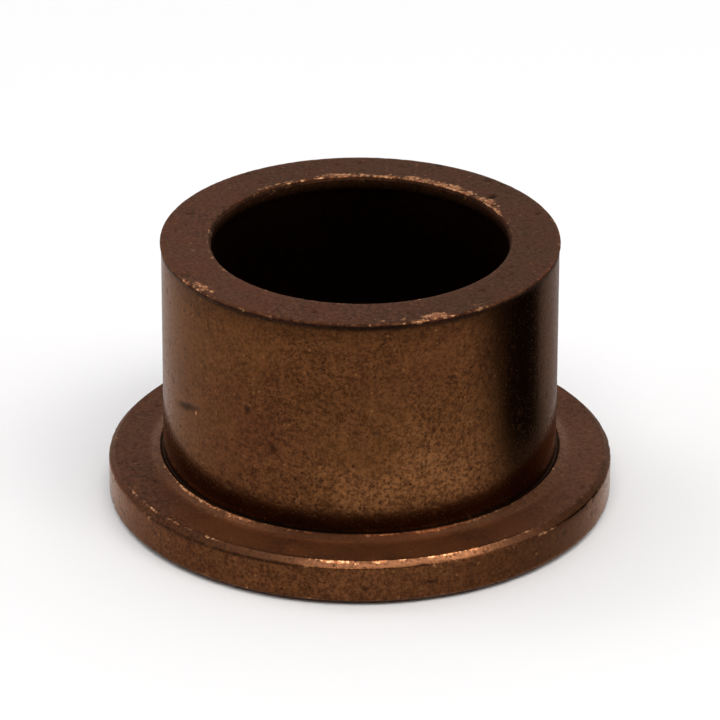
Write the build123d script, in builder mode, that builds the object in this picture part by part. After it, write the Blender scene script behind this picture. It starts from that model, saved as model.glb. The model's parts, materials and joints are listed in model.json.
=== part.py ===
from build123d import *

import os

# Flanged sleeve bushing, pressed and sintered in one piece from bronze powder.
# Millimetres, +Z up. The origin is the centre of the flange's outer end face,
# on the bore axis; the sleeve rises along +Z from the flange.

# ---- driving dimensions ----
bore_d = 19.05  # running bore for a 3/4 in shaft
sleeve_d = 25.4  # press-fit outside diameter for a 1 in housing bore
flange_d = 32.5
length = 17.75  # end to end, flange included
flange_t = 3.0  # flange thickness

foot_radius = 0.90  # fillet where the sleeve meets the flange
rim_break = 0.40  # chamfer on both edges of the flange rim
tip_break = 0.10  # edge break on the sleeve's free outer edge
bore_break = 0.20  # edge break at both mouths of the bore

# ---- derived radii ----
bore_r = bore_d / 2
sleeve_r = sleeve_d / 2
flange_r = flange_d / 2

match_tol = 1e-4  # tolerance for picking edges by radius and height


def circles_at(part, radius, z=None):
    """Circular edges of the given radius, at height z or at any height."""
    circles = part.edges().filter_by(GeomType.CIRCLE)
    circles = circles.filter_by(lambda edge: abs(edge.radius - radius) < match_tol)
    if z is None:
        return circles
    return circles.filter_by(lambda edge: abs(edge.center().Z - z) < match_tol)


with BuildPart() as flanged_bushing:
    # Two rings on the bore, both standing on Z = 0: the full-length sleeve,
    # then the flange. They overlap in the sleeve's wall and fuse into one body.
    for outer_r, top_z in ((sleeve_r, length), (flange_r, flange_t)):
        with BuildSketch(Plane.XZ):
            with BuildLine():
                Polyline(
                    (bore_r, 0),
                    (outer_r, 0),
                    (outer_r, top_z),
                    (bore_r, top_z),
                    close=True,
                )
            make_face()
        revolve(axis=Axis.Z)

    # Foot of the sleeve, on the flange's inner face
    fillet(circles_at(flanged_bushing, sleeve_r, z=flange_t), radius=foot_radius)

    # Both edges of the flange rim
    chamfer(circles_at(flanged_bushing, flange_r), length=rim_break)

    # Free outer edge of the sleeve, left nearly sharp
    chamfer(circles_at(flanged_bushing, sleeve_r, z=length), length=tip_break)

    # Both mouths of the bore
    chamfer(circles_at(flanged_bushing, bore_r), length=bore_break)

flanged_bushing.part.label = "flanged_bushing"

os.makedirs("parts", exist_ok=True)
export_step(flanged_bushing.part, "parts/flanged_bushing.step")
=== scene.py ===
"""Flanged bushing of sintered bronze.

It stands on its flange with its axis on +Z and its underside at z = 0. The camera looks down
at it from the -Y side. The skin is one closed section swept round the axis: arrays over it
have a row for each section point and a column for each angle. The part and its cards are
sized in mm, the lights and the camera's clipping in metres. Angles round the axis are in
degrees from +X, so -90 is the front.
"""

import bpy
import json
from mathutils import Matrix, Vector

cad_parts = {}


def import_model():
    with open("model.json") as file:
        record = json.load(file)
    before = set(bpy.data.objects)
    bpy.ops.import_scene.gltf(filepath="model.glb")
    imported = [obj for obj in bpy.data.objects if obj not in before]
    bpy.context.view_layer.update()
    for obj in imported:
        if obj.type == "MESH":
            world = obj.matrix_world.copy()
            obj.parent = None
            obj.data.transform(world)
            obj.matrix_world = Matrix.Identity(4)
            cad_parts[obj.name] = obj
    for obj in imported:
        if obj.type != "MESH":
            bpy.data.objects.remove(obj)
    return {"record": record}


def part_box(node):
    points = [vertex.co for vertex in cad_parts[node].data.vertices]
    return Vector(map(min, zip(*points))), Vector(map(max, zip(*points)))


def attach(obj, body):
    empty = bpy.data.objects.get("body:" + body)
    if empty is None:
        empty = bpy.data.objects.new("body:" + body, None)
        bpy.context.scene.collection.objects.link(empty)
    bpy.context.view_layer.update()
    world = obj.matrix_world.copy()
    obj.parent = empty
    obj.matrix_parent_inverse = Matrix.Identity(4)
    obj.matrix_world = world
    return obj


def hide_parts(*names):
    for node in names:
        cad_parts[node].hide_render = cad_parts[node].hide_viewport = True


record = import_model()["record"]

import json
import math
from functools import reduce

import bpy
import numpy as np
from mathutils import Matrix, Vector, noise

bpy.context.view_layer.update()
scene = bpy.context.scene
scene.view_settings.view_transform = "Standard"

MM = 0.001

# --------------------------------------------------------------------------
# Sizes, in mm. Flange radius and length come from the part's box, the next
# three from its mounts.
# --------------------------------------------------------------------------
box_lo, box_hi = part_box("flanged_bushing")
FLANGE_R = (box_hi[0] - box_lo[0]) / 2 / MM
LENGTH = (box_hi[2] - box_lo[2]) / MM
mounts = record["mounts"]
mount_radius = {mount["name"]: mount["dims"].get("r_mm") for mount in mounts}
BORE_R = float(mount_radius.get("bore") or 9.525)
SLEEVE_R = float(mount_radius.get("sleeve_od") or 12.7)
FLANGE_T = next((m["pos_m"][2] / MM for m in mounts if m["name"] == "flange_seat"), 3.0)

BORE_BREAK = 0.20  # chamfer at both ends of the bore
RIM_BREAK = 0.40  # chamfer on both edges of the flange
FOOT = 0.90  # size of the fillet at the foot of the sleeve: a small crest, then a cone
CREST_R = SLEEVE_R + 0.30 * FOOT
CREST_Z = FLANGE_T + 0.36 * FOOT
LIP = 0.05  # burr left proud of the sleeve at its free end
AROUND = 456  # points round the axis

# The section goes up the bore, over the free end, down the sleeve, over the flange and back
# underneath. Columns: r, z, corner radius, arc steps, name of the run after the corner, and
# the spacing of points on that run.
CORNERS = (
    (BORE_R, BORE_BREAK, 0.05, 2, "bore", 0.62),
    (BORE_R, LENGTH - BORE_BREAK, 0.05, 3, "mouth", 0.10),
    (BORE_R + BORE_BREAK, LENGTH, 0.07, 3, "end_face", 0.22),
    (SLEEVE_R + LIP, LENGTH, 0.07, 4, "lip", 0.08),
    (SLEEVE_R + LIP, LENGTH - 0.17, 0.05, 3, "under_lip", 0.07),
    (SLEEVE_R - 0.02, LENGTH - 0.33, 0.12, 3, "sleeve", 0.205),
    (SLEEVE_R, FLANGE_T + 0.20 * FOOT, 0.05, 3, "nook", 0.07),
    (CREST_R, CREST_Z, 0.07, 4, "foot", 0.085),
    (SLEEVE_R + 1.06 * FOOT, FLANGE_T, 0.80, 4, "seat", 0.215),
    (FLANGE_R - RIM_BREAK, FLANGE_T, 0.07, 3, "rim_break", 0.12),
    (FLANGE_R, FLANGE_T - RIM_BREAK, 0.07, 3, "rim", 0.2),
    (FLANGE_R, RIM_BREAK, 0.08, 3, "foot_break", 0.14),
    (FLANGE_R - RIM_BREAK, 0.0, 0.10, 3, "thrust_face", 0.52),
    (BORE_R + BORE_BREAK, 0.0, 0.07, 3, "foot_mouth", 0.12),
)


# --------------------------------------------------------------------------
# Section
# --------------------------------------------------------------------------
def round_corner(before, corner, after, radius, steps):
    """Points of the arc that rounds a corner, cut back to fit where a side is short."""
    back, ahead = before - corner, after - corner
    back_len, ahead_len = np.linalg.norm(back), np.linalg.norm(ahead)
    back, ahead = back / back_len, ahead / ahead_len
    half = math.acos(max(-1, min(1, float(back @ ahead)))) / 2
    cut = min(radius / math.tan(half), back_len * 0.45, ahead_len * 0.45)
    radius = cut * math.tan(half)
    inward = (back + ahead) / np.linalg.norm(back + ahead)
    centre = corner + inward * (radius / math.sin(half))
    start, end = corner + back * cut - centre, corner + ahead * cut - centre
    first = math.atan2(start[1], start[0])
    sweep = (math.atan2(end[1], end[0]) - first + math.pi) % (2 * math.pi) - math.pi
    angles = [first + sweep * k / steps for k in range(steps + 1)]
    return [centre + radius * np.array([math.cos(a), math.sin(a)]) for a in angles]


def trace_section():
    """Section points, the run each is on, and the middle rows of convex and concave corners."""
    count = len(CORNERS)
    places = [np.array(corner[:2]) for corner in CORNERS]
    arcs = [
        round_corner(places[i - 1], places[i], places[(i + 1) % count], *CORNERS[i][2:4])
        for i in range(count)
    ]
    points, runs, convex, concave = [], [], [], []
    for i, (*_, run, spacing) in enumerate(CORNERS):
        after = (i + 1) % count
        bend = np.cross(places[i] - places[i - 1], places[after] - places[i])
        (convex if bend < 0 else concave).append(len(points) + len(arcs[i]) // 2)
        start, end = arcs[i][-1], arcs[after][0]
        steps = max(1, round(float(np.linalg.norm(end - start)) / spacing))
        piece = arcs[i] + [start + (end - start) * k / steps for k in range(1, steps)]
        points += piece
        runs += [run] * len(piece)
    return np.array(points), runs, convex, concave


section, runs, convex_rows, concave_rows = trace_section()
ROWS = len(section)
R, Z = section[:, :1], section[:, 1:]
step_length = np.linalg.norm(np.roll(section, -1, axis=0) - section, axis=1)
travel = np.concatenate([[0], np.cumsum(step_length)])
perimeter = travel[-1]
travel = travel[:-1]
theta = np.arange(AROUND) * (2 * math.pi / AROUND)


def sweep_round(radial, axial):
    """Turn columns of radial and axial parts into x, y, z over the whole surface."""
    upright = np.broadcast_to(axial, (ROWS, AROUND))
    return np.stack([radial * np.cos(theta), radial * np.sin(theta), upright], axis=2)


tangent = np.roll(section, -1, axis=0) - np.roll(section, 1, axis=0)
tangent /= np.linalg.norm(tangent, axis=1)[:, None]
surface = sweep_round(R, Z)
outward = sweep_round(-tangent[:, 1:], tangent[:, :1])


# --------------------------------------------------------------------------
# Masks over the surface
# --------------------------------------------------------------------------
def on(*names):
    """1 on the rows of the named runs and 0 elsewhere."""
    return np.array([run in names for run in runs], float)[:, None]


def fade(distance, width):
    """1 at no distance, falling off as a bell curve."""
    return np.exp(-((distance / width) ** 2))


def reach(some_rows):
    """Distance along the section, in mm, from each row to the nearest of some rows."""
    gap = np.abs(travel[:, None] - travel[some_rows][None, :])
    return np.minimum(gap, perimeter - gap).min(axis=1)


def near(some_rows, width):
    return fade(reach(some_rows), width)[:, None]


def above(level, width):
    """1 above a height, fading below it."""
    return fade(np.maximum(level - Z, 0), width)


def below(level, width):
    """1 below a height, fading above it."""
    return fade(np.maximum(Z - level, 0), width)


def angle_from(angle):
    return (np.degrees(theta)[None, :] - angle + 180) % 360 - 180


def stretch(start, end, soft):
    """1 between two angles, falling evenly to 0 over the soft margin beyond them."""
    middle, half = (start + end) / 2, (end - start) / 2
    return np.clip((half + soft - np.abs(angle_from(middle))) / soft, 0, 1)


def sleeve_blob(angle, height, wide, tall):
    """Soft patch on the sleeve: width in degrees, height in mm."""
    return on("sleeve") * fade(angle_from(angle), wide) * fade(Z - height, tall)


def strongest(*masks):
    return reduce(np.maximum, masks)


def field(size, squash=(1, 1, 1), shift=0.0, octaves=1):
    """Smooth noise of about +-1 over the surface, with features of a size in mm."""
    points = map(Vector, surface.reshape(-1, 3) * (np.array(squash) / size) + shift)
    if octaves == 1:
        values = [noise.noise(point) for point in points]
    else:
        values = [noise.fractal(point, 1.0, 2.0, octaves) for point in points]
    return np.array(values).reshape(ROWS, AROUND)


# How far each surface was smoothed by a die, from 0 to 1.
die_wall = (
    on("bore", "sleeve", "rim", "nook") + 0.52 * on("foot") + 0.70 * on("rim_break", "foot_break")
)
front = stretch(-108, -48, soft=18)

# --------------------------------------------------------------------------
# Relief, in mm along the outward normal
# --------------------------------------------------------------------------
waves = field(7.0, shift=3.1)
grain = field(0.42, shift=11.7, octaves=2)
chips = field(0.95, shift=5.3, octaves=2)
runout = field(2.4, squash=(1, 1, 0.2), shift=8.9)

# Long waves and fine grain; the grain is weaker on die walls.
relief = 0.008 * waves + grain * (0.0060 - 0.0040 * die_wall)
# Ragged convex edges: chips, shallower round the lip, and an uneven overall loss.
chip_depth = 0.026 - 0.018 * on("lip", "under_lip", "end_face")
edge_loss = np.clip((chips - 0.18) / 0.35, 0, 1) * chip_depth + 0.010 * (0.5 + 0.5 * runout)
relief -= near(convex_rows, width=0.13) * edge_loss
# The burr at the free end stands proud by a varying amount.
relief += on("lip") * 0.007 * runout

pit = np.zeros((ROWS, AROUND))


def sink(row, angle, along, around, depth, lean=0.0, dark=1.0):
    """Sink one pit. Its radii along the section and round the axis and its depth are in mm,
    its angle and lean in radians."""
    extent = 2.2 * max(along, around)
    radius = section[row, 0]
    row_gap = (travel - travel[row] + perimeter / 2) % perimeter - perimeter / 2
    column_gap = ((theta - angle + math.pi) % (2 * math.pi) - math.pi) * radius
    near_rows = np.where(np.abs(row_gap) < extent)[0]
    near_columns = np.where(np.abs(column_gap) < extent)[0]
    down, across = np.meshgrid(row_gap[near_rows], column_gap[near_columns], indexing="ij")
    cos, sin = math.cos(lean), math.sin(lean)
    spread = ((down * cos + across * sin) / along) ** 2
    spread += ((across * cos - down * sin) / around) ** 2
    shape = np.exp(-(spread**1.6))
    patch = np.ix_(near_rows, near_columns)
    relief[patch] -= depth * shape
    pit[patch] = np.maximum(pit[patch], shape * dark)


def nearest_row(run, place):
    """Row of a run nearest a radius on the level end face, or a height on a wall."""
    axis = 0 if run == "end_face" else 1
    choices = [i for i in range(ROWS) if runs[i] == run]
    return min(choices, key=lambda i: abs(section[i][axis] - place))


# Scattered pits on each run, kept this far from every corner.
PIT_COUNTS = {
    "sleeve": 150, "end_face": 26, "seat": 26, "rim": 50, "bore": 90, "thrust_face": 90,
}
KEEP_OFF = 0.25
rng = np.random.RandomState(41)
clear_of_corners = (reach(convex_rows) > KEEP_OFF) & (reach(concave_rows) > KEEP_OFF)
for run, count in PIT_COUNTS.items():
    choices = [i for i in range(ROWS) if runs[i] == run and clear_of_corners[i]]
    for _ in range(count):
        size = 0.13 + 0.13 * rng.rand() ** 2.5
        # The arguments stay in this order, as each draws a random number.
        sink(
            row=choices[rng.randint(len(choices))],
            angle=rng.rand() * 2 * math.pi,
            along=size * (0.8 + 0.5 * rng.rand()),
            around=size * (0.8 + 0.5 * rng.rand()),
            depth=0.012 + 0.022 * rng.rand(),
            lean=rng.rand() * math.pi,
            dark=0.30 + 0.45 * rng.rand() ** 2,
        )

# Handling marks: dashes and larger pits. Columns: run, height (radius on the end face), angle,
# radius along the section, radius round the axis, depth, lean in degrees, darkness.
HANDLING_MARKS = (
    ("sleeve", 9.0, -145.5, 0.23, 1.20, 0.060, 15, 1.5),
    ("sleeve", 10.85, -119.7, 0.27, 0.24, 0.060, 0, 1.0),
    ("sleeve", 8.6, -111.3, 0.28, 0.25, 0.065, 0, 1.0),
    ("end_face", 10.75, 40.9, 0.28, 0.25, 0.08, 0, 1.0),
    ("rim", 1.4, -70, 0.18, 0.30, 0.04, 0, 1.0),
    ("sleeve", 12.9, 64, 0.20, 0.75, 0.05, 8, 1.0),
    ("sleeve", 6.4, 158, 0.26, 0.24, 0.05, 0, 1.0),
)
for run, place, angle, along, around, depth, lean, dark in HANDLING_MARKS:
    row = nearest_row(run, place)
    sink(row, math.radians(angle), along, around, depth, math.radians(lean), dark)


# --------------------------------------------------------------------------
# Wear, tone, and painted light and shade
# --------------------------------------------------------------------------
def convex_near(r, z):
    return min(convex_rows, key=lambda i: abs(section[i][0] - r) + abs(section[i][1] - z))


MOUTH = convex_near(BORE_R + BORE_BREAK, LENGTH)
TIP = convex_near(SLEEVE_R, LENGTH)
BORDER = nearest_row("end_face", BORE_R + 0.42)  # end face, just outside the bore
BRIM = nearest_row("end_face", SLEEVE_R - 0.38)  # end face, just inside the lip
CREST = convex_near(FLANGE_R - RIM_BREAK, FLANGE_T)
BROW = convex_near(FLANGE_R, FLANGE_T - RIM_BREAK)
RIDGE = convex_near(CREST_R, CREST_Z)

# Bare metal along some edges, and painted highlights where the lights catch the foot's ridge,
# the flange's top edge and the mouth's far edge. Columns: row, start angle, end angle, soft
# margin in degrees, width in mm, strength.
WORN_AND_LIT_STRETCHES = (
    (BORDER, 38, 76, 10, 0.44, 0.80),
    (MOUTH, 30, 80, 10, 0.26, 0.84),
    (MOUTH, 22, 34, 8, 0.20, 0.60),
    (BORDER, 92, 107, 6, 0.34, 0.62),
    (MOUTH, 84, 120, 12, 0.22, 0.66),
    (BORDER, 122, 134, 6, 0.32, 0.60),
    (MOUTH, 196, 236, 14, 0.18, 0.50),
    (BRIM, -142, -133, 4, 0.36, 0.74),
    (TIP, -148, -132, 6, 0.16, 0.66),
    (BRIM, -67, -61, 3, 0.42, 0.92),
    (BRIM, -81, -73, 5, 0.30, 0.66),
    (BRIM, -97, -91, 4, 0.24, 0.56),
    (TIP, -76, -52, 8, 0.14, 0.60),
    (BRIM, -54, -48, 4, 0.26, 0.60),
    (TIP, 8, 24, 6, 0.24, 0.60),
    (RIDGE, -158, -102, 12, 0.18, 0.78),
    (RIDGE, -143, -118, 6, 0.26, 1.05),
    (RIDGE, -82, -40, 12, 0.18, 0.78),
    (RIDGE, -70, -50, 6, 0.26, 1.05),
    (RIDGE, 40, 150, 20, 0.10, 0.66),
    (CREST, -96, -80, 5, 0.22, 0.80),
    (CREST, -150, -124, 10, 0.16, 0.66),
    (CREST, -72, -42, 12, 0.14, 0.62),
    (BROW, -40, 14, 18, 0.16, 0.58),
    (CREST, 60, 118, 20, 0.16, 0.62),
    (BROW, 150, 196, 18, 0.18, 0.58),
)

# Golden sleeve patches; the two low at the front are painted warm light. Columns: strength,
# angle, height, half-width in degrees, half-height in mm.
GOLD_AND_LIT_PATCHES = (
    (1.25, -64, 6.6, 18, 3.6),
    (1.0, -88, 6.0, 20, 2.6),
    (0.8, 120, 9.0, 40, 5.0),
    (0.7, 20, 8.0, 26, 5.0),
)
RUDDY_PATCHES = (
    (1.4, -120, 9.0, 18, 4.4),
    (0.7, -60, 14.5, 26, 2.2),
    (0.7, 70, 10.0, 34, 5.0),
    (0.6, 178, 7.0, 26, 4.0),
)
# Painted warm light on the seat and foot. Columns: strength, angle, half-width in degrees.
PAINTED_GLOWS = ((0.62, -121, 13), (0.50, -51, 7), (0.4, 100, 24))
FLECK_ANGLE, FLECK_Z = -140.3, 9.05  # bare fleck at the end of the front dash


# Worn bare edges together with painted highlights on the foot's ridge, the flange's top edge and
# the mouth's far edge.
def wear_and_highlight_mask():
    worn_and_lit = strongest(*(
        strength * stretch(start, end, soft) * near([row], width)
        for row, start, end, soft, width, strength in WORN_AND_LIT_STRETCHES
    ))
    rub = field(1.6, shift=21.0, octaves=3)
    worn_and_lit *= np.clip(0.92 + 0.55 * rub, 0, 1.15) * (1 - 0.8 * on("mouth"))
    fleck_gap = np.hypot(Z - FLECK_Z, np.radians(angle_from(FLECK_ANGLE)) * SLEEVE_R)
    fleck = on("sleeve") * 0.95 * fade(fleck_gap, 0.17)
    edges = 0.30 * near(convex_rows, width=0.12) * (1 - on("bore")) * (1 - on("nook"))
    return strongest(worn_and_lit, fleck, edges)


def painted_hollow_shade_mask():
    """Painted shade round the mouth, under the lip, at the foot and on the flange edge."""
    mouth = on("under_lip") + 0.85 * on("mouth")
    mouth = mouth + 0.85 * on("bore") * above(LENGTH - 0.45, width=0.55)
    top = strongest(mouth, on("sleeve") * above(LENGTH - 0.40, width=0.12))
    top = top * np.clip(0.80 + 0.30 * runout, 0, 1)
    foot = on("nook") + on("sleeve") * below(FLANGE_T + 0.25, width=0.22)
    brow = 0.75 * stretch(-136, -104, soft=12) * near([BROW], width=0.07)
    return strongest(np.clip(strongest(top, foot), 0, 1), brow)


def shade_mask():
    """Darker, mostly under the lip, towards the foot and away from the front."""
    return strongest(
        on("sleeve") * above(LENGTH - 0.7, width=0.75) * 0.75,
        on("sleeve") * below(3.9, width=1.05),
        on("rim_break") * 0.45 * (1 - front),
        on("rim") * stretch(-46, 6, soft=26),
        on("end_face") * (0.26 + 0.64 * stretch(-56, 120, soft=40)),
        0.20 * sleeve_blob(angle=-88, height=12.8, wide=30, tall=2.8),
    )


def painted_highlight_mask():
    # Painted highlight: lighter on the foot, the seat's right and the flange's top chamfer, most
    # at the front where the lights fall.
    foot = 0.05 + 0.23 * front
    foot = foot + 0.20 * stretch(-146, -118, soft=10) + 0.12 * stretch(-68, -50, soft=8)
    seat = 0.17 * stretch(-44, 10, soft=16)
    return on("seat") * seat + on("foot") * foot + on("rim_break") * (0.04 + 0.33 * front)


def wall_mask():
    """Die polish; the flange's top chamfer is dull except at the front."""
    chamfer = 0.12 + 0.58 * front
    return np.where(on("rim_break") > 0, chamfer, die_wall - 0.22 * on("foot") * (1 - front))


def tone_masks():
    """Golden and ruddy tones; the golden one also carries painted warm light at the front of the
    seat and sleeve and in the glows.
    """
    uneven = np.clip(0.8 + 1.0 * field(2.6, shift=55.0, octaves=3), 0.1, 1.5)
    gold_and_lit = on("rim") * stretch(-110, -50, soft=20) * 0.30
    gold_and_lit = gold_and_lit + sum(strength * sleeve_blob(*place) for strength, *place in GOLD_AND_LIT_PATCHES)
    gold_and_lit = gold_and_lit + on("seat") * (0.24 + 0.56 * stretch(-106, -60, soft=14))
    for strength, angle, wide in PAINTED_GLOWS:
        gold_and_lit = gold_and_lit + strength * on("seat", "foot") * fade(angle_from(angle), wide)
    ruddy = on("rim") + sum(strength * sleeve_blob(*place) for strength, *place in RUDDY_PATCHES)
    blotches = 2.4 * field(1.9, shift=71.0, octaves=3) + 0.35 * stretch(-140, -104, soft=16)
    ruddy = ruddy * uneven + on("end_face") * np.clip(blotches, 0, 1)
    return np.clip(gold_and_lit * uneven, 0, 1), np.clip(ruddy, 0, 1)


# --------------------------------------------------------------------------
# Mesh
# --------------------------------------------------------------------------
def lay_out_texture(mesh):
    """One straight strip: angle across, section up, with less room for bore and underside."""
    room = np.array([0.5 if run in ("bore", "thrust_face") else 1.0 for run in runs])
    climb = np.concatenate([[0], np.cumsum(room * step_length)])
    v_at = 0.004 + 0.992 * climb / climb[-1]
    u_at = 0.004 + 0.992 * np.arange(AROUND + 1) / AROUND
    u = u_at[np.arange(AROUND)[:, None] + [0, 0, 1, 1]][None, :, :]
    v = v_at[np.arange(ROWS)[:, None] + [0, 1, 1, 0]][:, None, :]
    uv = np.stack(np.broadcast_arrays(u, v), axis=3).reshape(-1)
    mesh.uv_layers.new(name="OFBake").data.foreach_set("uv", uv.astype(np.float32))


def give_points(mesh, name, values):
    attribute = mesh.attributes.new(name, "FLOAT", "POINT")
    flat = np.ascontiguousarray(values, dtype=np.float32).reshape(-1)
    attribute.data.foreach_set("value", flat)


def build_bushing():
    points = (surface + outward * relief[:, :, None]) * MM
    points[:, :, 2] = np.clip(points[:, :, 2], 0.0, None)
    here = np.arange(ROWS * AROUND).reshape(ROWS, AROUND)
    up = np.roll(here, -1, axis=0)
    quads = np.stack([here, up, np.roll(up, -1, axis=1), np.roll(here, -1, axis=1)], axis=2)
    mesh = bpy.data.meshes.new("bushing_skin")
    mesh.from_pydata(points.reshape(-1, 3).tolist(), [], quads.reshape(-1, 4).tolist())
    mesh.validate()
    mesh.update()
    lay_out_texture(mesh)
    gold_and_lit, ruddy = tone_masks()
    masks = {
        "wear_and_highlight": wear_and_highlight_mask(),
        "hollow_shade": painted_hollow_shade_mask(),
        "pit": np.clip(pit, 0, 1),
        "wall": wall_mask(),
        "inner": on("bore"),
        "shade": shade_mask(),
        "painted_highlight": painted_highlight_mask(),
        "gold_and_lit": gold_and_lit,
        "ruddy": ruddy,
    }
    for name, values in masks.items():
        give_points(mesh, name, np.broadcast_to(values, (ROWS, AROUND)))
    mesh.shade_smooth()
    skin = bpy.data.objects.new("flanged_bushing_skin", mesh)
    scene.collection.objects.link(skin)
    return skin


bushing = build_bushing()
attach(bushing, "root")
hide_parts("flanged_bushing")


# --------------------------------------------------------------------------
# Materials
# --------------------------------------------------------------------------
class Graph:
    """Node tree of a material or world, with short ways to add nodes."""

    def __init__(self, owner):
        owner.use_nodes = True
        self.owner = owner
        self.tree = owner.node_tree
        self.tree.nodes.clear()

    def node(self, kind, inputs=None, **props):
        """Add a node; inputs maps socket names or numbers to values or to sockets to link."""
        node = self.tree.nodes.new("ShaderNode" + kind)
        for key, value in props.items():
            setattr(node, key, value)
        for key, value in (inputs or {}).items():
            if isinstance(value, bpy.types.NodeSocket):
                self.tree.links.new(value, node.inputs[key])
            else:
                node.inputs[key].default_value = value
        return node

    def math(self, operation, *values, clamp=False):
        inputs = dict(enumerate(values))
        return self.node("Math", inputs, operation=operation, use_clamp=clamp).outputs[0]

    def add(self, first, second, clamp=False):
        return self.math("ADD", first, second, clamp=clamp)

    def sub(self, first, second):
        return self.math("SUBTRACT", first, second)

    def mul(self, first, second, clamp=False):
        return self.math("MULTIPLY", first, second, clamp=clamp)

    def weighted(self, *terms):
        """Sum of (value, weight) pairs."""
        return reduce(self.add, [self.mul(value, weight) for value, weight in terms])

    def span(self, value, between, to=(0.0, 1.0)):
        """Carry one range smoothly onto another."""
        inputs = {
            "Value": value,
            "From Min": between[0],
            "From Max": between[1],
            "To Min": to[0],
            "To Max": to[1],
        }
        node = self.node("MapRange", inputs, interpolation_type="SMOOTHSTEP", clamp=True)
        return node.outputs["Result"]

    def cover(self, under, over, mask, amount=None):
        """Lay one colour over another where the mask is 1."""
        if amount is not None:
            mask = self.mul(mask, amount)
        inputs = {"Factor": mask, 6: under, 7: over}
        return self.node("Mix", inputs, data_type="RGBA", blend_type="MIX").outputs[2]

    def lerp(self, factor, at0, at1):
        return self.node("Mix", {"Factor": factor, 2: at0, 3: at1}, data_type="FLOAT").outputs[0]

    def noise(self, vector, scale, detail=2.0, rough=0.5, warp=0.0):
        inputs = {
            "Vector": vector,
            "Scale": scale,
            "Detail": detail,
            "Roughness": rough,
            "Distortion": warp,
        }
        return self.node("TexNoise", inputs).outputs[0]

    def spots(self, vector, scale, edge, chance, warp=None):
        """Round spots in some cells: edge is the range of distance from the cell's point,
        chance the range of its random value."""
        cells = self.node("TexVoronoi", {"Vector": vector, "Scale": scale}, feature="F1")
        parts = self.node("SeparateColor", {0: cells.outputs["Color"]})
        distance = cells.outputs["Distance"]
        if warp is not None:
            distance = self.add(distance, warp)
        return self.mul(self.span(distance, edge), self.span(parts.outputs[0], chance))

    def attribute(self, name):
        return self.node("Attribute", attribute_name=name).outputs["Fac"]

    def scaled(self, vector, by):
        return self.node("VectorMath", {0: vector, 1: by}, operation="MULTIPLY").outputs[0]

    def finish(self, shader, output="OutputMaterial"):
        self.node(output, {"Surface": shader.outputs[0]})
        return self.owner


def new_material(name):
    return Graph(bpy.data.materials.new(name))


def rgb(red, green, blue):
    return (red, green, blue, 1.0)


WALL = rgb(0.046, 0.0165, 0.0050), rgb(0.128, 0.0480, 0.0155)  # dark and light grain
WALL_GOLD = rgb(0.128, 0.0500, 0.0150)
WALL_RED = rgb(0.080, 0.0255, 0.0120)
RUDDY_WALL = rgb(0.056, 0.0165, 0.0075), rgb(0.106, 0.0345, 0.0155)
GOLDEN_WALL = rgb(0.074, 0.0275, 0.0100), rgb(0.235, 0.0960, 0.0340)
BORE = rgb(0.090, 0.0370, 0.0120), rgb(0.190, 0.0860, 0.0290)
FACE = rgb(0.038, 0.0125, 0.0058), rgb(0.110, 0.0385, 0.0155)
FACE_RED = rgb(0.098, 0.0280, 0.0110)
FACE_BROWN = rgb(0.040, 0.0165, 0.0085)
FACE_TAN = rgb(0.094, 0.0370, 0.0150)
GOLDEN_FACE = rgb(0.150, 0.0500, 0.0170)
RUDDY_FACE = rgb(0.092, 0.0235, 0.0085)
# Colour of the painted highlights.
HIGHLIGHT_TINT = rgb(0.186, 0.0810, 0.0430)
SHADED = rgb(0.040, 0.0145, 0.0050)
FLECK = rgb(0.28, 0.125, 0.042)
# Bare copper of worn edges and of the painted highlights.
BARE_AND_LIT_COPPER = rgb(0.28, 0.100, 0.040), rgb(0.66, 0.36, 0.180)
HOLE = rgb(0.008, 0.004, 0.003)
# Colour of the painted shade in hollows.
SHADE_IN_HOLLOWS = rgb(0.006, 0.003, 0.002)


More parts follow.
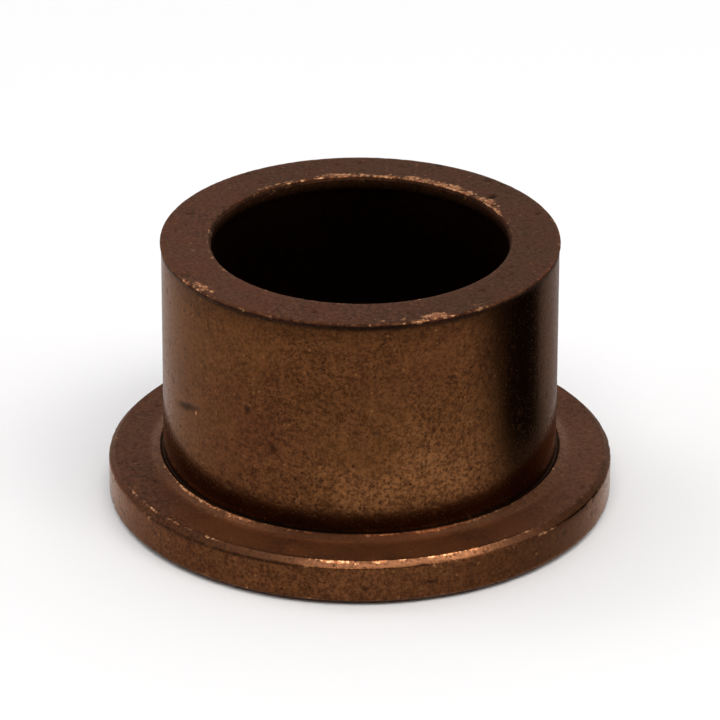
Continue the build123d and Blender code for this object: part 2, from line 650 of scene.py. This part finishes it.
def bronze():
    g = new_material("sintered_bronze")
    at = g.node("TexCoord").outputs["Object"]
    in_mm = g.scaled(at, by=(1000, 1000, 1000))
    drawn = g.scaled(at, by=(1000, 1000, 90))  # stretched along the axis
    wear_and_highlight, hollow_shade, pits, wall, inner, shade = map(
        g.attribute, ("wear_and_highlight", "hollow_shade", "pit", "wall", "inner", "shade")
    )

    # Noise from coarse to fine, and streaks along the axis.
    tone = g.noise(in_mm, scale=0.17, detail=3, rough=0.55, warp=0.4)
    patch = g.noise(in_mm, scale=0.42, detail=4, rough=0.6, warp=0.6)
    mottle = g.noise(in_mm, scale=1.30, detail=4, rough=0.62, warp=0.3)
    speck = g.noise(in_mm, scale=3.6, detail=2.5, rough=0.60, warp=0.2)
    grain = g.noise(in_mm, scale=6.4, detail=2, rough=0.55)
    fine = g.noise(in_mm, scale=13.0, detail=2, rough=0.5)
    streak = g.noise(drawn, scale=5.0, detail=3, rough=0.6)

    # Open pores of two sizes, fewer on the faces.
    warp = g.mul(g.sub(grain, 0.5), 0.30)
    big = g.spots(in_mm, scale=2.2, edge=(0.28, 0.10), chance=(0.70, 0.80), warp=warp)
    small = g.spots(in_mm, scale=4.0, edge=(0.44, 0.16), chance=(0.45, 0.60), warp=warp)
    pores = g.math("MAXIMUM", g.mul(big, 0.62), g.mul(small, 0.45))
    pores = g.mul(pores, g.lerp(wall, at0=0.55, at1=1.0))
    holes = g.math("MAXIMUM", pores, pits)

    key = g.weighted((speck, 0.45), (grain, 0.35), (mottle, 0.20))

    def grained(pair, between=(0.385, 0.615)):
        """Dark and light of a pair, broken up by the grain."""
        return g.cover(*pair, g.span(key, between))

    # Colour of the die walls.
    skin = grained(WALL)
    skin = g.cover(skin, WALL_GOLD, g.span(tone, between=(0.40, 0.66), to=(0.0, 0.40)))
    skin = g.cover(skin, WALL_RED, g.span(patch, between=(0.50, 0.72), to=(0.0, 0.35)))
    skin = g.cover(skin, WALL[0], g.span(streak, between=(0.56, 0.70), to=(0.0, 0.22)))
    skin = g.cover(skin, grained(RUDDY_WALL), g.attribute("ruddy"), amount=0.55)
    # Golden tone and painted warm light.
    skin = g.cover(skin, grained(GOLDEN_WALL), g.attribute("gold_and_lit"), amount=0.80)
    # Colour of the faces.
    face = grained(FACE, between=(0.41, 0.59))
    face = g.cover(face, FACE_RED, g.span(patch, between=(0.46, 0.66), to=(0.0, 0.60)))
    face = g.cover(face, FACE_BROWN, g.span(mottle, between=(0.54, 0.68), to=(0.0, 0.55)))
    face = g.cover(face, FACE_TAN, g.span(tone, between=(0.44, 0.62), to=(0.0, 0.35)))
    # Golden tone and painted warm light.
    face = g.cover(face, GOLDEN_FACE, g.attribute("gold_and_lit"), amount=0.70)
    face = g.cover(face, RUDDY_FACE, g.attribute("ruddy"), amount=0.55)
    # Both together, with painted highlight, painted shade and flecks. The bore is the most golden
    # surface.
    skin = g.cover(face, skin, wall)
    skin = g.cover(skin, HIGHLIGHT_TINT, g.attribute("painted_highlight"))
    skin = g.cover(skin, SHADED, shade, amount=0.62)
    fleck = g.spots(in_mm, scale=3.1, edge=(0.38, 0.16), chance=(0.90, 0.95))
    skin = g.cover(skin, FLECK, fleck, amount=0.38)
    skin = g.cover(skin, grained(BORE), inner, amount=0.60)
    # Worn edges and painted highlights in bright copper with a ragged border, then holes and
    # painted shade.
    ragged = g.weighted((g.sub(speck, 0.5), 0.8), (g.sub(mottle, 0.5), 1.7))
    bare_and_lit = g.span(g.add(wear_and_highlight, ragged), between=(0.42, 0.78))
    glitter = g.span(g.weighted((grain, 0.5), (speck, 0.5)), between=(0.45, 0.62))
    skin = g.cover(skin, g.cover(*BARE_AND_LIT_COPPER, glitter), bare_and_lit, amount=0.92)
    skin = g.cover(skin, HOLE, holes, amount=0.80)
    # Painted shade in the hollows: the mouth, under the lip, the sleeve's foot and below the
    # flange's top chamfer.
    skin = g.cover(skin, SHADE_IN_HOLLOWS, hollow_shade, amount=0.93)

    rough = g.lerp(wall, at0=0.56, at1=0.205)
    rough = g.add(rough, g.span(speck, between=(0.35, 0.65), to=(0.04, -0.03)))
    rough = g.add(rough, g.mul(holes, 0.30))
    rough = g.lerp(g.mul(bare_and_lit, 0.6), at0=rough, at1=0.34)
    rough = g.add(rough, g.mul(hollow_shade, 0.25), clamp=True)
    rough = g.lerp(inner, at0=rough, at1=0.26)

    metal = g.lerp(wall, at0=0.60, at1=1.0)
    metal = g.lerp(g.mul(bare_and_lit, 0.9), at0=metal, at1=1.0)

    height = g.weighted(
        (speck, g.lerp(wall, at0=0.60, at1=0.16)),
        (grain, g.lerp(wall, at0=0.30, at1=0.08)),
        (fine, g.lerp(wall, at0=0.16, at1=0.03)),
        (mottle, 0.18),
        (streak, g.mul(wall, 0.12)),
    )
    height = g.sub(height, g.mul(pores, 0.7))
    bump = g.node("Bump", {"Strength": 0.40, "Distance": 0.00003, "Height": height})

    return g.finish(g.node("BsdfPrincipled", {
        "Base Color": skin,
        "Metallic": metal,
        "Roughness": rough,
        "Normal": bump.outputs[0],
        "Specular IOR Level": 0.12,
        "Specular Tint": rgb(1.0, 0.80, 0.70),
        "Coat Weight": g.mul(wall, 0.03),
        "Coat Roughness": 0.20,
        "Coat IOR": 1.46,
    }))


BACKDROP = rgb(0.97, 0.97, 0.975)


def plain_shader(g, colour, rough, specular):
    inputs = {"Base Color": colour, "Roughness": rough, "Specular IOR Level": specular}
    return g.node("BsdfPrincipled", inputs)


def paper():
    """Pale floor that the camera sees turn into the backdrop in the distance."""
    g = new_material("floor_paper")
    sheet = plain_shader(g, rgb(0.93, 0.93, 0.93), rough=1.0, specular=0.0)
    at = g.node("TexCoord").outputs["Object"]
    away = g.node("VectorMath", {0: at}, operation="LENGTH").outputs["Value"]
    far = g.span(away, between=(0.11, 0.70))  # metres
    glow = g.node("Emission", {"Color": BACKDROP})
    seen = g.mul(far, g.node("LightPath").outputs["Is Camera Ray"])
    return g.finish(g.node("MixShader", {0: seen, 1: sheet.outputs[0], 2: glow.outputs[0]}))


def matt(name, colour):
    g = new_material(name)
    return g.finish(plain_shader(g, colour, rough=0.6, specular=0.2))


def floor_shading():
    """Grey of the darkness attribute, as solid as the amount attribute."""
    g = new_material("floor_shade.001")
    clear = g.node("BsdfTransparent")
    grey = g.node("CombineColor", {k: g.attribute("darkness") for k in range(3)})
    solid = g.node("BsdfDiffuse", {"Color": grey.outputs[0]})
    amount = g.attribute("amount")
    return g.finish(g.node("MixShader", {0: amount, 1: clear.outputs[0], 2: solid.outputs[0]}))


bushing.data.materials.append(bronze())


# --------------------------------------------------------------------------
# Floor, and cards seen only in reflections
# --------------------------------------------------------------------------
def polar(radius, degrees, z, centre=(0.0, 0.0)):
    turn = math.radians(degrees)
    return (centre[0] + radius * math.cos(turn), centre[1] + radius * math.sin(turn), z)


def stage_sheet(name, points, faces, material):
    """Stage object from points in mm."""
    mesh = bpy.data.meshes.new(name)
    mesh.from_pydata([tuple(part * MM for part in point) for point in points], [], faces)
    mesh.update()
    sheet = bpy.data.objects.new(name, mesh)
    scene.collection.objects.link(sheet)
    mesh.materials.append(material)
    return sheet


def card(name, points, faces, material):
    sheet = stage_sheet(name, points, faces, material)
    sheet.visible_camera = False
    sheet.visible_shadow = False
    sheet.visible_diffuse = False
    return sheet


def grid_faces(lines, count):
    """Quads between successive lines of points."""
    return [
        (i * count + j, i * count + j + 1, (i + 1) * count + j + 1, (i + 1) * count + j)
        for i in range(lines - 1)
        for j in range(count - 1)
    ]


def dark_card():
    """Dark half tube on the +X side, where a neighbouring part would stand."""
    steps = 14
    start, end = 85, 275
    points = [
        polar(6.75, start + (end - start) * k / steps, z, centre=(29.0, 1.15))
        for z in (0.05, 24.0)
        for k in range(steps + 1)
    ]
    material = matt("dark_card", rgb(0.012, 0.007, 0.005))
    card("dark_card", points, grid_faces(2, steps + 1), material)


def bore_shade_card():
    """Painted shade: a dark disc at the bottom of the bore, seen only in reflections."""
    sides = 48
    points = [polar(9.42, 360 * k / sides, z=0.25) for k in range(sides)]
    card("bore_shade", points, [tuple(range(sides))], matt("bore_shade", rgb(0.006, 0.004, 0.003)))


# The floor as its neighbours shade it. Columns: angle, amount of shade, its grey.
SHADE_BY_ANGLE = (
    (-180, 0.45, 0.70), (-171, 0.0, 0.70), (-32, 0.0, 0.085), (-12, 1.0, 0.085),
    (10, 1.0, 0.085), (24, 1.0, 0.26), (60, 1.0, 0.36), (92, 0.8, 0.50),
    (108, 0.6, 0.60), (122, 0.9, 0.56), (138, 1.0, 0.52), (150, 0.9, 0.58),
    (165, 0.75, 0.66), (176, 0.5, 0.70), (180, 0.45, 0.70),
)
SHADE_RADII = (17.0, 17.8, 18.6, 19.4, 20.3, 21.2, 24.0, 40.0, 90.0)
SHADE_FADE = 4.2  # the shade comes in over this distance from the first radius


def floor_shade():
    angles = np.arange(0, 361, 3) - 180.0
    stations, amounts, greys = zip(*SHADE_BY_ANGLE)
    points = [polar(radius, angle, z=0.3) for radius in SHADE_RADII for angle in angles]
    rise = np.clip((np.array(SHADE_RADII) - SHADE_RADII[0]) / SHADE_FADE, 0, 1)
    rise = rise * rise * (3 - 2 * rise)
    faces = grid_faces(len(SHADE_RADII), len(angles))
    mesh = card("floor_shade", points, faces, floor_shading()).data
    give_points(mesh, "amount", np.outer(rise, np.interp(angles, stations, amounts)))
    greys_round = np.interp(angles, stations, greys)
    give_points(mesh, "darkness", np.tile(greys_round, len(SHADE_RADII)))


FLOOR_HALF, FLOOR_Z = 6000.0, -0.02
floor_corners = [
    (x * FLOOR_HALF, y * FLOOR_HALF, FLOOR_Z) for x, y in ((-1, -1), (1, -1), (1, 1), (-1, 1))
]
stage_sheet("floor", floor_corners, [(0, 1, 2, 3)], paper())
dark_card()
bore_shade_card()
floor_shade()


# --------------------------------------------------------------------------
# World, lights and camera
# --------------------------------------------------------------------------
WORLD_STRENGTH = 1.29
DARK_ROOM = 0.96  # share of light lost on the dark side


def build_world():
    """Pale room, dark on the camera's side up to the overhead light; the camera sees only
    the backdrop."""
    scene.world = bpy.data.worlds.new("studio")
    g = Graph(scene.world)
    at = g.node("TexCoord").outputs["Generated"]
    x, y, z = g.node("SeparateXYZ", {0: at}).outputs
    ramp = g.node("ValToRGB", {0: z})
    low, high = ramp.color_ramp.elements
    low.position = 0.0
    low.color = rgb(0.98, 0.98, 0.985)
    high.position = 0.75
    high.color = rgb(0.50, 0.50, 0.52)

    # A wedge of directions about -Y, under a ceiling; both have soft borders.
    aside = g.math("ABSOLUTE", x)
    ahead = g.mul(y, -1.0)
    within = g.mul(g.sub(g.mul(ahead, 1.10), aside), 4.0, clamp=True)
    under = g.mul(g.sub(0.86, z), 8.0, clamp=True)
    dark = g.mul(g.mul(within, under), DARK_ROOM)
    strength = g.mul(g.sub(1.0, dark), WORLD_STRENGTH)
    room = g.node("Background", {0: ramp.outputs[0], 1: strength})
    seen = g.node("Background", {0: BACKDROP})
    camera_ray = g.node("LightPath").outputs["Is Camera Ray"]
    pick = g.node("MixShader", {0: camera_ray, 1: room.outputs[0], 2: seen.outputs[0]})
    g.finish(pick, output="OutputWorld")


def softbox(name, azimuth, elevation, distance, size, radiance, tint=(1, 1, 1)):
    """Area light aimed at the part. Azimuth 0 is on the -Y side and 90 on the +X side, in
    degrees; lengths are in metres."""
    light = bpy.data.lights.new(name, "AREA")
    light.shape = "RECTANGLE"
    light.size, light.size_y = size
    light.energy = radiance * math.pi * size[0] * size[1]
    light.color = tint
    lamp = bpy.data.objects.new(name, light)
    scene.collection.objects.link(lamp)
    turn, rise = math.radians(azimuth), math.radians(elevation)
    flat = math.cos(rise)
    away = Vector((math.sin(turn) * flat, -math.cos(turn) * flat, math.sin(rise)))
    lamp.location = Vector((0, 0, 0.008)) + away * distance
    lamp.rotation_mode = "QUATERNION"
    lamp.rotation_quaternion = away.to_track_quat("Z", "Y")
    return lamp


def build_camera():
    """Long lens aimed at the middle of the part, with a slight roll."""
    eye = Vector((20.71, -299.67, 155.98)) * MM
    aim = Vector((0.0, 0.0, 0.5 * LENGTH + 0.25)) * MM
    roll = math.radians(0.13)
    data = bpy.data.cameras.new("camera")
    data.sensor_width = 36.0
    data.lens = 260.0
    data.clip_start = 0.01
    data.clip_end = 20.0
    camera = bpy.data.objects.new("camera", data)
    scene.collection.objects.link(camera)
    forward = (aim - eye).normalized()
    level = forward.cross(Vector((0, 0, 1))).normalized()
    upright = level.cross(forward)
    right = level * math.cos(roll) + upright * math.sin(roll)
    up = upright * math.cos(roll) - level * math.sin(roll)
    pose = Matrix((right, up, -forward)).transposed().to_4x4()
    pose.translation = eye
    camera.matrix_world = pose
    scene.camera = camera


build_world()
softbox(
    "key", azimuth=24, elevation=62, distance=0.60, size=(0.66, 0.24), radiance=4.2,
    tint=(1.0, 0.965, 0.92),
)
softbox("side", azimuth=-112, elevation=50, distance=0.75, size=(0.26, 0.26), radiance=2.6)
glint = softbox(
    "glint", azimuth=68, elevation=55, distance=0.60, size=(0.16, 0.14), radiance=5.0,
    tint=(1.0, 0.93, 0.80),
)
glint.visible_diffuse = False
build_camera()
